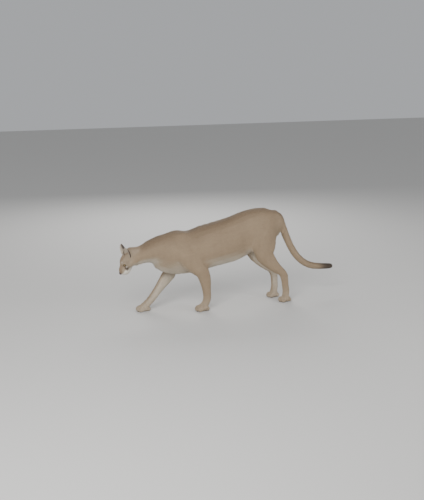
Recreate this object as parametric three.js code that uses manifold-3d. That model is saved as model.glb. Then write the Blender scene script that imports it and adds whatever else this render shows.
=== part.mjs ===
// A life-size cougar walking with its head low: each named part is one closed solid.
// Millimetres, +Z up, the head towards -X, the animal's left side towards -Y, the paws on z = 0.
import * as THREE from "three";
import { mergeVertices } from "three/addons/utils/BufferGeometryUtils.js";
import Module from "manifold-3d";

const wasm = await Module();
wasm.setup();

// Driving dimensions
const GAP = 0.3; // between touching parts
const WITHERS = 626; // height of the back over the shoulder blades
const CROUP = 745; // highest point, over the hips
const CHEST_FLOOR = 286; // underside of the breastbone
const LEG_TRACK = 72; // from the midline to each line of paws
const TAIL_LENGTH = 760;
const HEAD_PITCH = 58; // degrees that the face points below the horizontal
const SKULL = { x: -578, z: 441 }; // centre of the braincase

const COAT = { color: 0x9c8464, roughness: 0.9, metalness: 0 };
const LEATHER = { color: 0x5a4038, roughness: 0.55, metalness: 0 };
const EYE = { color: 0x8a7434, roughness: 0.1, metalness: 0 };

// Solids and meshes
function toSolid(geometry) {
  const bare = new THREE.BufferGeometry();
  bare.setAttribute("position", geometry.getAttribute("position").clone());
  if (geometry.index) bare.setIndex(geometry.index);
  const merged = mergeVertices(bare, 1e-3);
  return new wasm.Manifold(
    new wasm.Mesh({
      numProp: 3,
      vertProperties: new Float32Array(merged.attributes.position.array),
      triVerts: new Uint32Array(merged.index.array),
    }),
  );
}

// The largest closed surface of a solid, so that a cut leaves no loose scrap.
function largest(solid) {
  const pieces = solid.decompose();
  return pieces.reduce((a, b) => (b.volume() > a.volume() ? b : a));
}

function toGeometry(solid) {
  const mesh = largest(solid).getMesh();
  const geometry = new THREE.BufferGeometry();
  geometry.setAttribute("position", new THREE.BufferAttribute(mesh.vertProperties, 3));
  geometry.setIndex(new THREE.BufferAttribute(mesh.triVerts, 1));
  geometry.computeVertexNormals();
  return geometry;
}

// A fan from the middle of a ring closes a rounded end.
function fanCap(points, first, sides) {
  const ring = points.slice(first, first + sides);
  const sum = ring.reduce((total, p) => total.add(p), new THREE.Vector3());
  points.push(sum.divideScalar(sides));
  const faces = [];
  for (let s = 0; s < sides; s += 1) {
    faces.push(points.length - 1, first + s, first + ((s + 1) % sides));
  }
  return faces;
}

// A strip from edge to edge closes a crescent, whose ring runs out along one face and back.
function stripCap(points, first, sides) {
  const faces = [];
  for (let s = 0; s + 1 < sides / 2; s += 1) {
    const across = first + sides - 1 - s;
    faces.push(first + s, first + s + 1, across, first + s + 1, across - 1, across);
  }
  return faces;
}

// A closed skin through rings of equally many points.
function skinRings(rings, cap = fanCap) {
  const sides = rings[0].length;
  const points = rings.flat();
  const last = points.length - sides;
  const faces = [];
  for (let a = 0; a < last; a += 1) {
    const b = (a + 1) % sides === 0 ? a + 1 - sides : a + 1;
    faces.push(a, b, b + sides, a, b + sides, a + sides);
  }
  faces.push(...cap(points, 0, sides).reverse(), ...cap(points, last, sides));
  const volume = (a, b, c) => points[a].dot(new THREE.Vector3().crossVectors(points[b], points[c]));
  let total = 0;
  for (let i = 0; i < faces.length; i += 3) total += volume(faces[i], faces[i + 1], faces[i + 2]);
  if (total < 0) faces.reverse();
  const geometry = new THREE.BufferGeometry().setFromPoints(points);
  geometry.setIndex(faces);
  return geometry;
}

// Lofted limbs: a station holds the middle of a section, its half width to each side, and its
// reach to the front (or top) and to the back (or underside) of the line through the stations.
const LATERAL = new THREE.Vector3(0, 1, 0);

function limbCurves(stations) {
  const curve = (pick) => new THREE.CatmullRomCurve3(stations.map(pick), false, "catmullrom", 0.5);
  return {
    middle: curve((s) => new THREE.Vector3(...s.at)),
    sizes: curve((s) => new THREE.Vector3(s.side, s.front, s.back)),
    squareness: curve((s) => new THREE.Vector3(s.square ?? 2, s.taper ?? 0, s.lean ?? 0)),
  };
}

function limbRing(curves, t, sides, { scale = 1, push = 0, grow = 0 } = {}) {
  const along = curves.middle.getTangent(t);
  const across = LATERAL.clone().addScaledVector(along, -LATERAL.dot(along)).normalize();
  const front = new THREE.Vector3().crossVectors(across, along);
  const middle = curves.middle.getPoint(t).addScaledVector(along, push);
  const size = curves.sizes.getPoint(t);
  const form = curves.squareness.getPoint(t);
  const ring = [];
  for (let i = 0; i < sides; i += 1) {
    const angle = (2 * Math.PI * (i + 0.5)) / sides;
    const c = Math.cos(angle);
    const s = Math.sin(angle);
    const power = 2 / form.x;
    const narrow = 1 - form.y * Math.max(0, s) ** 2;
    const wide = (size.x * scale + grow) * Math.sign(c) * Math.abs(c) ** power * narrow;
    const reach = s > 0 ? size.y : size.z;
    const high = (reach * scale + grow) * Math.sign(s) * Math.abs(s) ** power;
    ring.push(middle.clone().addScaledVector(across, wide).addScaledVector(front, high));
  }
  return ring;
}

const ROUND_STEPS = 3; // rings that close a rounded end

// The whole of a limb; either end may be rounded off by the length in roundStart or roundEnd.
function limb(stations, { sides, perSpan = 2, grow = 0, roundStart = 0, roundEnd = 0 }) {
  const curves = limbCurves(stations);
  const steps = (stations.length - 1) * perSpan;
  const rings = [];
  for (let k = ROUND_STEPS; roundStart && k > 0; k -= 1) {
    const turn = (k / (ROUND_STEPS + 0.4)) * (Math.PI / 2);
    const end = { scale: Math.cos(turn), push: -Math.sin(turn) * roundStart - grow, grow };
    rings.push(limbRing(curves, 0, sides, end));
  }
  for (let k = 0; k <= steps; k += 1) rings.push(limbRing(curves, k / steps, sides, { grow }));
  for (let k = 1; roundEnd && k <= ROUND_STEPS; k += 1) {
    const turn = (k / (ROUND_STEPS + 0.4)) * (Math.PI / 2);
    const end = { scale: Math.cos(turn), push: Math.sin(turn) * roundEnd + grow, grow };
    rings.push(limbRing(curves, 1, sides, end));
  }
  return toSolid(skinRings(rings));
}

// The stretch of a limb between two station numbers, half a gap inside each plane.
function stretch(solid, stations, from, to) {
  const { middle } = limbCurves(stations);
  const spans = stations.length - 1;
  const cut = (piece, station, sign) => {
    const normal = middle.getTangent(station / spans).multiplyScalar(sign);
    const reach = normal.dot(middle.getPoint(station / spans)) + GAP / 2;
    return piece.trimByPlane(normal.toArray(), reach);
  };
  const begun = from === null ? solid : cut(solid, from, 1);
  return to === null ? begun : cut(begun, to, -1);
}

// Trunk and neck. Each row: distance along the body, top, underside, half width.
function trunkStation(x, top, under, side, extra = {}) {
  const middle = top - (top - under) * 0.52;
  return { at: [x, 0, middle], side, front: top - middle, back: middle - under, ...extra };
}

const TRUNK = [
  trunkStation(-362, 572, 336, 70, { square: 2.1 }),
  trunkStation(-305, 602, CHEST_FLOOR + 14, 93, { square: 2.2, taper: 0.3 }),
  trunkStation(-232, WITHERS, CHEST_FLOOR, 106, { square: 2.2, taper: 0.4 }),
  trunkStation(-145, WITHERS - 14, CHEST_FLOOR, 114, { square: 2.2, taper: 0.3 }),
  trunkStation(-50, WITHERS + 12, 300, 119, { square: 2.2, taper: 0.15 }),
  trunkStation(50, WITHERS + 33, 320, 117, { square: 2.2, taper: 0.1 }),
  trunkStation(150, WITHERS + 55, 339, 109, { square: 2.2, taper: 0.1 }),
  trunkStation(240, CROUP - 41, 366, 98, { square: 2.2, taper: 0.1 }),
  trunkStation(325, CROUP - 12, 404, 93, { square: 2.2, taper: 0.15 }),
  trunkStation(405, CROUP, 436, 95, { square: 2.2, taper: 0.2 }),
  trunkStation(480, CROUP - 2, 462, 92, { square: 2.1, taper: 0.2 }),
  trunkStation(545, CROUP - 26, 496, 76, { square: 2, taper: 0.1 }),
];
const CHEST_END = 3.6; // station where the ribs give way to the belly
const BELLY_END = 7.6; // station where the flank meets the hips

const NECK = [
  { at: [-296, 0, 474], side: 90, front: 122, back: 118 },
  { at: [-364, 0, 470], side: 86, front: 108, back: 108 },
  { at: [-430, 0, 464], side: 77, front: 86, back: 86 },
  { at: [-494, 0, 452], side: 69, front: 63, back: 74, taper: 0.1 },
  { at: [-540, 0, 430], side: 61, front: 53, back: 68, taper: 0.1 },
  { at: [-570, 0, 406], side: 47, front: 45, back: 52 },
];

// Tail: hangs from the croup, then sweeps back and levels out.
const TAIL_POINTS = [
  [538, 676],
  [584, 640],
  [616, 570],
  [649, 492],
  [690, 410],
  [745, 328],
  [818, 266],
  [904, 234],
  [1030, 222],
];
const TAIL_THICK = [46, 42, 35, 32, 31, 30.5, 30, 29, 25];
const TAIL = TAIL_POINTS.map(([x, z], i) => ({
  at: [x, -4 + i * 1.5, z],
  side: TAIL_THICK[i] * 0.96,
  front: TAIL_THICK[i],
  back: TAIL_THICK[i],
}));

// Legs. A pose lists the joints in the side view; the section sizes are the same on both sides.
const FORELEG_SIZES = [
  { side: 26, front: 60, back: 62 }, // top of the shoulder blade
  { side: 44, front: 74, back: 84 }, // shoulder blade
  { side: 54, front: 76, back: 92 }, // point of the shoulder
  { side: 50, front: 64, back: 78 }, // upper arm
  { side: 43, front: 52, back: 60 }, // elbow
  { side: 40, front: 47, back: 51 }, // swell of the forearm
  { side: 34, front: 38, back: 40 }, // lower forearm
  { side: 31, front: 31, back: 33 }, // above the wrist
  { side: 32, front: 30, back: 32 }, // wrist
  { side: 33, front: 28, back: 30 }, // pastern
  { side: 37, front: 25, back: 27 }, // knuckles
];
const HIND_LEG_SIZES = [
  { side: 46, front: 92, back: 78 }, // hip
  { side: 60, front: 96, back: 106 }, // upper thigh
  { side: 58, front: 92, back: 114 }, // thigh
  { side: 50, front: 60, back: 112 }, // knee
  { side: 42, front: 48, back: 76 }, // calf
  { side: 34, front: 38, back: 48 }, // lower shank
  { side: 29, front: 31, back: 38 }, // above the hock
  { side: 28, front: 29, back: 34 }, // hock
  { side: 28, front: 28, back: 28 }, // cannon
  { side: 30, front: 27, back: 28 }, // lower cannon
  { side: 35, front: 25, back: 27 }, // knuckles
];
const ELBOW = 4;
const WRIST = 8;
const KNEE = 3;
const HOCK = 7;

// Each point of a pose: along, outwards from the midline, height.
const FORELEG_BACK = [
  [-196, 46, 572],
  [-204, 66, 510],
  [-196, 80, 434],
  [-136, 86, 362],
  [-66, 84, 302],
  [-38, 80, 242],
  [-26, 76, 186],
  [-20, 74, 134],
  [-18, LEG_TRACK, 94],
  [-28, LEG_TRACK, 58],
  [-52, LEG_TRACK, 30],
];
const FORELEG_REACHING = [
  [-214, 44, 566],
  [-242, 62, 508],
  [-286, 74, 436],
  [-276, 84, 356],
  [-250, 86, 286],
  [-284, 82, 236],
  [-324, 78, 186],
  [-364, 75, 136],
  [-398, LEG_TRACK, 94],
  [-430, LEG_TRACK, 60],
  [-464, LEG_TRACK, 33],
];
const HIND_LEG_BACK = [
  [478, 42, 640],
  [450, 62, 560],
  [424, 76, 468],
  [416, 80, 386],
  [470, 78, 322],
  [534, 75, 268],
  [588, 73, 224],
  [608, LEG_TRACK, 180],
  [617, LEG_TRACK, 128],
  [624, LEG_TRACK, 80],
  [618, LEG_TRACK, 36],
];
const HIND_LEG_UNDER = [
  [460, 42, 636],
  [434, 62, 556],
  [412, 76, 464],
  [408, 80, 380],
  [454, 78, 314],
  [514, 75, 260],
  [564, 73, 216],
  [584, LEG_TRACK, 176],
  [590, LEG_TRACK, 128],
  [592, LEG_TRACK, 80],
  [582, LEG_TRACK, 36],
];

function legStations(pose, sizes, side) {
  return pose.map(([x, out, z], i) => ({ at: [x, side * out, z], ...sizes[i] }));
}

// Paws: a pad block and four toes, set on the floor and flattened where they rest.
const FLOOR_CUT = 400;

function ball(center, radii, turn = 0, columns = 10, rows = 7) {
  const shape = new THREE.SphereGeometry(1, columns, rows);
  shape.scale(...radii);
  shape.rotateZ(turn);
  shape.translate(...center);
  return toSolid(shape);
}

function paw({ x, y, length, width, height }) {
  const sole = -3; // the pads sink this far and are cut flat at the floor
  const pieces = [
    ball([x - length * 0.02, y, height * 0.5 + sole], [length * 0.4, width * 0.46, height * 0.56]),
    ball([x + length * 0.22, y, height * 0.3 + sole], [length * 0.26, width * 0.36, height * 0.36]),
  ];
  const spread = [-0.34, -0.13, 0.13, 0.34];
  const reach = [0.3, 0.42, 0.42, 0.3];
  spread.forEach((share, i) => {
    const tilt = -share * 0.5;
    const center = [x - length * reach[i], y + width * share, height * 0.34 + sole];
    pieces.push(ball(center, [length * 0.23, width * 0.145, height * 0.38], tilt, 8, 5));
  });
  return pieces.reduce((a, b) => a.add(b));
}

function aboveFloor(solid) {
  const slab = new THREE.BoxGeometry(4000, 4000, FLOOR_CUT);
  slab.translate(0, 0, -FLOOR_CUT / 2);
  return solid.subtract(toSolid(slab));
}

// Head. Its own frame: u forwards along the face, v to the animal's right, w up from the face.
const pitch = THREE.MathUtils.degToRad(HEAD_PITCH);
const FACE_WAY = new THREE.Vector3(-Math.cos(pitch), 0, -Math.sin(pitch));
const CROWN_WAY = new THREE.Vector3(-Math.sin(pitch), 0, Math.cos(pitch));
const headFrame = new THREE.Matrix4()
  .makeBasis(FACE_WAY, LATERAL, CROWN_WAY)
  .setPosition(SKULL.x, 0, SKULL.z);

// One mass of bone or muscle: middle, half sizes, and whether it has a twin on the other side.
const HEAD_MASSES = [
  { at: [-4, 0, 0], half: [70, 59, 50] }, // braincase
  { at: [-46, 0, -26], half: [42, 52, 42] }, // back of the head
  { at: [40, 0, 10], half: [44, 42, 38] }, // forehead
  { at: [52, 27, 19], half: [26, 17, 15], twin: true }, // brow
  { at: [80, 0, 6], half: [46, 22, 21] }, // bridge of the nose
  { at: [72, 0, -12], half: [48, 36, 26] }, // upper jaw
  { at: [22, 52, -10], half: [44, 21, 24], twin: true }, // cheekbone
  { at: [0, 46, -34], half: [44, 26, 34], twin: true }, // jaw muscle
  { at: [106, 19, -16], half: [28, 23, 21], twin: true }, // whisker pad
  { at: [116, 0, -5], half: [21, 16, 15] }, // nose
  { at: [60, 0, -36], half: [52, 30, 20] }, // lower jaw
  { at: [102, 0, -38], half: [21, 23, 16] }, // chin
];
const BLEND = 7; // how softly the masses run into one another

function massDistance(p, [u, v, w], [a, b, c]) {
  const x = (p.x - u) / a;
  const y = (p.y - v) / b;
  const z = (p.z - w) / c;
  const k0 = Math.hypot(x, y, z);
  const k1 = Math.hypot(x / a, y / b, z / c);
  return k1 === 0 ? -Math.min(a, b, c) : (k0 * (k0 - 1)) / k1;
}

function headDistance(p) {
  let sum = 0;
  for (const { at, half, twin } of HEAD_MASSES) {
    sum += Math.exp(-massDistance(p, at, half) / BLEND);
    if (twin) sum += Math.exp(-massDistance(p, [at[0], -at[1], at[2]], half) / BLEND);
  }
  return -BLEND * Math.log(sum);
}

// Where the skin of the head lies on the way out from a point inside it.
function headSurface(start, way, offset = 0) {
  let near = 0;
  let far = 200;
  for (let i = 0; i < 30; i += 1) {
    const half = (near + far) / 2;
    const inside = headDistance(start.clone().addScaledVector(way, half)) < offset;
    if (inside) near = half;
    else far = half;
  }
  return start.clone().addScaledVector(way, near);
}

const HEAD_CORE = [new THREE.Vector3(-34, 0, -14), new THREE.Vector3(96, 0, -16)];
const HEAD_SIDES = 28;
const HEAD_RINGS = 14;
const HEAD_DOMES = 6; // rings over each end

function headSkin(offset = 0) {
  const rings = [];
  const addRing = (share, tilt) => {
    const start = HEAD_CORE[0].clone().lerp(HEAD_CORE[1], share);
    const ring = [];
    for (let i = 0; i < HEAD_SIDES; i += 1) {
      const angle = (2 * Math.PI * i) / HEAD_SIDES;
      const across = Math.cos(tilt);
      const way = new THREE.Vector3(
        Math.sin(tilt),
        across * Math.cos(angle),
        across * Math.sin(angle),
      );
      ring.push(headSurface(start, way, offset));
    }
    rings.push(ring);
  };
  for (let k = HEAD_DOMES; k > 0; k -= 1) addRing(0, (-k / (HEAD_DOMES + 0.6)) * (Math.PI / 2));
  for (let k = 0; k <= HEAD_RINGS; k += 1) addRing(k / HEAD_RINGS, 0);
  for (let k = 1; k <= HEAD_DOMES; k += 1) addRing(1, (k / (HEAD_DOMES + 0.6)) * (Math.PI / 2));
  return skinRings(rings);
}

const EYEBALL = 14.5;
const EYE_AT = { u: 62, v: 32, w: 13 };
const EYE_SLIT = { long: 15, high: 8.6, slant: 22 };
const LID = 2.6; // thickness of the lids over the eyeball

// The head frame is left-handed, so each face is turned round as it is placed.
function inHead(geometry) {
  geometry.index.array.reverse();
  return geometry.applyMatrix4(headFrame);
}

function eyeball(side, radius, columns = 14, rows = 10) {
  const shape = new THREE.SphereGeometry(radius, columns, rows);
  shape.translate(EYE_AT.u, side * EYE_AT.v, EYE_AT.w);
  return toSolid(inHead(shape));
}

// The almond between the lids: a flattened ball in front of the eye, its outer corner higher.
function eyeOpening(side) {
  const shape = new THREE.SphereGeometry(1, 14, 8);
  shape.scale(14, EYE_SLIT.long, EYE_SLIT.high);
  shape.rotateX(side * THREE.MathUtils.degToRad(EYE_SLIT.slant));
  shape.rotateZ(side * 0.62);
  shape.rotateY(-0.34);
  const ahead = 13;
  shape.translate(EYE_AT.u + ahead * 0.86, side * (EYE_AT.v + ahead * 0.5), EYE_AT.w + ahead * 0.3);
  return toSolid(inHead(shape));
}

// Nose leather: wide above, narrow below, with a nostril on each side.
const NOSE_AT = { u: 138, w: -3 };

function noseLeather(grow = 0) {
  const shape = new THREE.SphereGeometry(1, 16, 10);
  const position = shape.attributes.position;
  for (let i = 0; i < position.count; i += 1) {
    const high = position.getZ(i);
    const width = 13.5 + 5 * high + grow;
    const x = position.getX(i) * (9 + grow) - Math.max(0, high) * 3;
    position.setXYZ(i, x, position.getY(i) * width, high * (11.5 + grow));
  }
  shape.translate(NOSE_AT.u, 0, NOSE_AT.w);
  return toSolid(inHead(shape));
}

function nostril(side) {
  const shape = new THREE.SphereGeometry(1, 10, 6);
  shape.scale(5.5, 4.6, 2.7);
  shape.rotateX(side * 0.5);
  shape.translate(NOSE_AT.u + 7.6, side * 8.2, NOSE_AT.w - 0.5);
  return toSolid(inHead(shape));
}

// The line of the mouth: points are cast on the skin of the muzzle from inside it.
const MOUTH_GROOVE = 1.7;

function mouthPoint(side, u, droop) {
  const start = new THREE.Vector3(u, 0, -22);
  const way = new THREE.Vector3(0, side * Math.cos(droop), -Math.sin(droop));
  return headSurface(start, way);
}

function mouthLine(radius, drop) {
  const corners = [
    [66, 0.34],
    [76, 0.36],
    [87, 0.42],
    [98, 0.5],
    [108, 0.62],
  ];
  const middle = new THREE.Vector3(1, 0, -0.42).normalize();
  const front = headSurface(new THREE.Vector3(96, 0, -22), middle);
  const left = corners.map(([u, droop]) => mouthPoint(-1, u, droop));
  const right = corners.map(([u, droop]) => mouthPoint(1, u, droop)).reverse();
  const path = new THREE.CatmullRomCurve3([...left, front, ...right]);
  return tubeAlong(path, radius, drop, 18);
}

const TUBE_SIDES = 5;

function tubeAlong(path, radius, drop, steps) {
  const rings = [];
  for (let k = 0; k <= steps; k += 1) {
    const along = path.getTangent(k / steps);
    const up = new THREE.Vector3(0, 0, 1).addScaledVector(along, -along.z).normalize();
    const out = new THREE.Vector3().crossVectors(up, along);
    const middle = path.getPoint(k / steps);
    middle.z -= drop;
    const ring = [];
    for (let i = 0; i < TUBE_SIDES; i += 1) {
      const angle = (2 * Math.PI * i) / TUBE_SIDES;
      ring.push(
        middle
          .clone()
          .addScaledVector(up, radius * Math.sin(angle))
          .addScaledVector(out, radius * Math.cos(angle)),
      );
    }
    rings.push(ring);
  }
  return toSolid(inHead(skinRings(rings)));
}

// Groove from the nose down to the mouth.
function philtrum() {
  const ways = [-0.1, -0.2, -0.3, -0.4];
  const points = ways.map((w) =>
    headSurface(new THREE.Vector3(96, 0, -18), new THREE.Vector3(1, 0, w).normalize()),
  );
  return tubeAlong(new THREE.CatmullRomCurve3(points), 1.2, 0, 6);
}

function buildHead() {
  let head = toSolid(inHead(headSkin()));
  for (const side of [-1, 1]) head = head.add(eyeball(side, EYEBALL + LID));
  head = head.add(mouthLine(3.4, 4.4));
  for (const side of [-1, 1]) {
    head = head.subtract(eyeOpening(side)).subtract(eyeball(side, EYEBALL + GAP));
  }
  head = head.subtract(noseLeather(GAP)).subtract(mouthLine(MOUTH_GROOVE, 0));
  return head.subtract(philtrum());
}

// Ears: a cupped leaf, open to the front and outwards.
const EAR = { height: 60, halfWidth: 30, wall: 3.6, sunk: 14 };
const EAR_AT = { u: -12, v: 45, w: 37 };
const EAR_LEAN = { back: 38, out: 26, turn: 32 }; // degrees
const EAR_ARC = 8; // points along each face of a section
const EAR_RINGS = 8;

function earSection(share) {
  const width = EAR.halfWidth * Math.sqrt(Math.max(0, 1 - share ** 3)) * (1 - 0.1 * share) + 0.8;
  const depth = width * (0.86 - 0.34 * share);
  const wall = Math.min(EAR.wall * (1 - 0.5 * share), width * 0.4);
  const lift = EAR.height * share;
  const edge = (grow, back) => {
    const arc = [];
    for (let i = 0; i < EAR_ARC; i += 1) {
      const angle = Math.PI * (i / (EAR_ARC - 1)) * 1.08 - 0.04 * Math.PI;
      const x = Math.sin(angle) * (depth - grow) - depth * 0.5 + back;
      arc.push(new THREE.Vector3(-x, -Math.cos(angle) * (width - grow), lift));
    }
    return arc;
  };
  return [...edge(0, 0), ...edge(wall, 0).reverse()];
}

function ear(side) {
  const rings = [];
  for (let k = 0; k <= EAR_RINGS; k += 1) rings.push(earSection(Math.min(0.985, k / EAR_RINGS)));
  const root = rings[0].map((p) => p.clone().setZ(-EAR.sunk));
  const shape = skinRings([root, ...rings], stripCap);
  const rad = THREE.MathUtils.degToRad;
  shape.rotateZ(side * rad(EAR_LEAN.turn));
  shape.rotateX(-side * rad(EAR_LEAN.out));
  shape.rotateY(-rad(EAR_LEAN.back));
  shape.translate(EAR_AT.u, side * EAR_AT.v, EAR_AT.w);
  return toSolid(inHead(shape));
}

// Assembly
const cougar = new THREE.Group();
cougar.name = "cougar";

function addPart(name, solid, look = COAT) {
  const mesh = new THREE.Mesh(toGeometry(solid), new THREE.MeshStandardMaterial(look));
  mesh.name = name;
  cougar.add(mesh);
}

const SIDES = { left: -1, right: 1 };
const trunkForm = { sides: 22, roundStart: 56, roundEnd: 56 };
const trunk = limb(TRUNK, trunkForm);
const trunkGrown = limb(TRUNK, { ...trunkForm, grow: GAP });
const headGrown = toSolid(inHead(headSkin(GAP)));
const neck = limb(NECK, { sides: 18 }).subtract(trunkGrown).subtract(headGrown);
const neckGrown = limb(NECK, { sides: 18, grow: GAP });
const tailForm = { sides: 12, roundStart: 20, roundEnd: 28 };
const tail = limb(TAIL, tailForm);
const tailGrown = limb(TAIL, { ...tailForm, grow: GAP });

addPart("chest", stretch(trunk, TRUNK, null, CHEST_END));
addPart("belly", stretch(trunk, TRUNK, CHEST_END, BELLY_END));
addPart("hips", stretch(trunk, TRUNK, BELLY_END, null));
addPart("neck", neck);

addPart("head", buildHead());
addPart("nose", noseLeather().subtract(nostril(-1)).subtract(nostril(1)), LEATHER);
for (const [name, side] of Object.entries(SIDES)) {
  addPart(`eye_${name}`, eyeball(side, EYEBALL), EYE);
  addPart(`ear_${name}`, ear(side).subtract(headGrown));
}

addPart("tail_base", stretch(tail, TAIL, null, 3).subtract(trunkGrown));
addPart("tail_middle", stretch(tail, TAIL, 3, 6));
addPart("tail_end", stretch(tail, TAIL, 6, null));

const FOREPAW = { length: 100, width: 86, height: 58 };
const HINDPAW = { length: 94, width: 78, height: 54 };

// The foot below the last joint: the end of the limb joined to the paw and cut flat at the floor.
function foot(leg, stations, joint, size) {
  const [x, y] = stations.at(-1).at;
  const shaft = stretch(leg, stations, joint, null);
  return aboveFloor(shaft.add(paw({ x: x + 6, y, ...size })));
}

const LEGS = [
  { name: "left", fore: FORELEG_BACK, hind: HIND_LEG_BACK },
  { name: "right", fore: FORELEG_REACHING, hind: HIND_LEG_UNDER },
];
for (const { name, fore, hind } of LEGS) {
  const front = legStations(fore, FORELEG_SIZES, SIDES[name]);
  const foreleg = limb(front, { sides: 12, roundStart: 26, roundEnd: 12 });
  const shoulder = stretch(foreleg, front, null, ELBOW).subtract(trunkGrown);
  addPart(`shoulder_${name}`, shoulder.subtract(neckGrown));
  addPart(`forearm_${name}`, stretch(foreleg, front, ELBOW, WRIST).subtract(trunkGrown));
  addPart(`forepaw_${name}`, foot(foreleg, front, WRIST, FOREPAW));
  const back = legStations(hind, HIND_LEG_SIZES, SIDES[name]);
  const hindLeg = limb(back, { sides: 12, roundStart: 40, roundEnd: 12 });
  const thigh = stretch(hindLeg, back, null, KNEE).subtract(trunkGrown);
  addPart(`thigh_${name}`, thigh.subtract(tailGrown));
  addPart(`shank_${name}`, stretch(hindLeg, back, KNEE, HOCK).subtract(trunkGrown));
  addPart(`hindpaw_${name}`, foot(hindLeg, back, HOCK, HINDPAW));
}

// The origin is on the floor, below the middle of the whole animal.
const box = new THREE.Box3().setFromObject(cougar);
cougar.position.set(-(box.min.x + box.max.x) / 2, -(box.min.y + box.max.y) / 2, -box.min.z);

export default cougar;
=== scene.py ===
# A life-size cougar in its coat, walking with its head low, on a plain studio floor.
# Metres, +Z up, the head towards -X, the animal's left side towards -Y.
import math

import bmesh
import bpy
import numpy as np
from mathutils import Matrix, Vector


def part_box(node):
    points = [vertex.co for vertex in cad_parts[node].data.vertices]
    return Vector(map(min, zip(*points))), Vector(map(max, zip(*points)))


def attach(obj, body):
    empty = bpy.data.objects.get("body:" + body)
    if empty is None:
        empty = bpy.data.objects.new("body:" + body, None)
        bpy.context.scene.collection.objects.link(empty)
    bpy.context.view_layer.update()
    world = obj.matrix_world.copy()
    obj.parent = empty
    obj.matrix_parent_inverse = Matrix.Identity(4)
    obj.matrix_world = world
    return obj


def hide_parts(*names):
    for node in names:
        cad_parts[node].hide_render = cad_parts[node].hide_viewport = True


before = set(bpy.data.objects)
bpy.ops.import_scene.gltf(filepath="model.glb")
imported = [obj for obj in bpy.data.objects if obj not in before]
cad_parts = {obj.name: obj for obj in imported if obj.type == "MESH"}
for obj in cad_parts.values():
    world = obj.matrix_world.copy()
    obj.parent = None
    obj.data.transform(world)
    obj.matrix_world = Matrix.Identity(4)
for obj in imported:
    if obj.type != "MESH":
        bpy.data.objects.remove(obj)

SIDES = {"left": -1, "right": 1}
HEAD, TRUNK, TAIL = 0, 1, 2  # places in the list of body lines; the legs come after
random = np.random.default_rng(11)

# Colours, linear
BACK = (0.225, 0.158, 0.098)
FLANK = (0.375, 0.278, 0.182)
UNDERSIDE = (0.66, 0.59, 0.48)
CREAM = (0.76, 0.71, 0.62)
SOOT = (0.055, 0.042, 0.034)
PAD = (0.045, 0.032, 0.028)
FOOT = (0.46, 0.37, 0.27)
FOREHEAD = (0.33, 0.245, 0.165)
CHEEK = (0.40, 0.315, 0.225)
EAR_CUP = (0.50, 0.43, 0.34)
EAR_BACK = (0.11, 0.085, 0.068)

# The head's own frame: u forwards along the face, v to the right, w up from the face
HEAD_PITCH = math.radians(58)
FACE_WAY = np.array([-math.cos(HEAD_PITCH), 0.0, -math.sin(HEAD_PITCH)])
CROWN_WAY = np.array([-math.sin(HEAD_PITCH), 0.0, math.cos(HEAD_PITCH)])
EYE_AT = np.array([0.062, 0.032, 0.013])
EYEBALL = 0.0145


def middle_of(node):
    low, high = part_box(node)
    return np.array((low + high) / 2)


between_eyes = (middle_of("eye_left") + middle_of("eye_right")) / 2
SKULL = between_eyes - FACE_WAY * EYE_AT[0] - CROWN_WAY * EYE_AT[2]


def to_head(points):
    away = points - SKULL
    return np.stack([away @ FACE_WAY, away[..., 1], away @ CROWN_WAY], axis=-1)


def from_head(local):
    return (
        SKULL
        + local[..., :1] * FACE_WAY
        + local[..., 1:2] * np.array([0.0, 1.0, 0.0])
        + local[..., 2:3] * CROWN_WAY
    )


def way_from_head(way):
    return from_head(way[None])[0] - SKULL


def folded(local):
    """The head's left half laid over its right one."""
    return np.stack([local[:, 0], np.abs(local[:, 1]), local[:, 2]], axis=1)


def sides_of(out):
    """Sides on which a landmark stands: both, or once on the middle line."""
    return (1, -1) if out else (1,)


# Landmarks below are in millimetres from the shoulder line; the skull ties them to the row's frame
SKULL_MARK = np.array([-578.0, 0.0, 441.0])


def place(x, y, z):
    return (np.array([x, y, z], float) - SKULL_MARK) / 1000 + SKULL


# Lines that the coat follows. Each row: x, outwards, z, half thickness, hair length, coat depth
HEAD_LINE = [
    (-652, 0, 322, 30, 3.5, 0.8),
    (-620, 0, 373, 42, 4.5, 1.2),
    (-583, 0, 432, 60, 6.5, 2.0),
    (-545, 0, 472, 60, 9.0, 3.0),
]
TRUNK_LINE = [
    (-540, 0, 440, 66, 11, 3.5),
    (-440, 0, 464, 76, 14, 4.5),
    (-330, 0, 462, 90, 15, 5.0),
    (-150, 0, 462, 112, 15, 5.0),
    (80, 0, 504, 114, 15, 5.0),
    (260, 0, 548, 98, 15, 5.0),
    (420, 0, 610, 92, 14, 5.0),
    (530, 0, 640, 70, 14, 4.5),
]
TAIL_LINE = [
    (570, 0, 665, 42, 14, 4.0),
    (616, 0, 570, 34, 14, 4.0),
    (690, 0, 410, 31, 14, 4.0),
    (745, 0, 328, 30, 14, 4.0),
    (818, 0, 266, 30, 14, 4.0),
    (904, 0, 234, 29, 15, 4.0),
    (1058, 0, 222, 25, 17, 4.0),
]
FORELEG_BACK = [
    (-204, 70, 540, 50, 13, 4.5),
    (-196, 84, 434, 54, 13, 4.5),
    (-66, 84, 302, 44, 10, 3.5),
    (-30, 78, 210, 36, 9, 2.6),
    (-20, 74, 134, 29, 8, 2.2),
    (-28, 72, 58, 27, 7, 1.8),
    (-90, 72, 14, 24, 5.5, 1.2),
]
FORELEG_REACHING = [
    (-242, 70, 520, 50, 13, 4.5),
    (-286, 78, 436, 54, 13, 4.5),
    (-250, 86, 286, 44, 10, 3.5),
    (-310, 80, 204, 36, 9, 2.6),
    (-364, 75, 136, 29, 8, 2.2),
    (-430, 72, 60, 27, 7, 1.8),
    (-505, 72, 14, 24, 5.5, 1.2),
]
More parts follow.
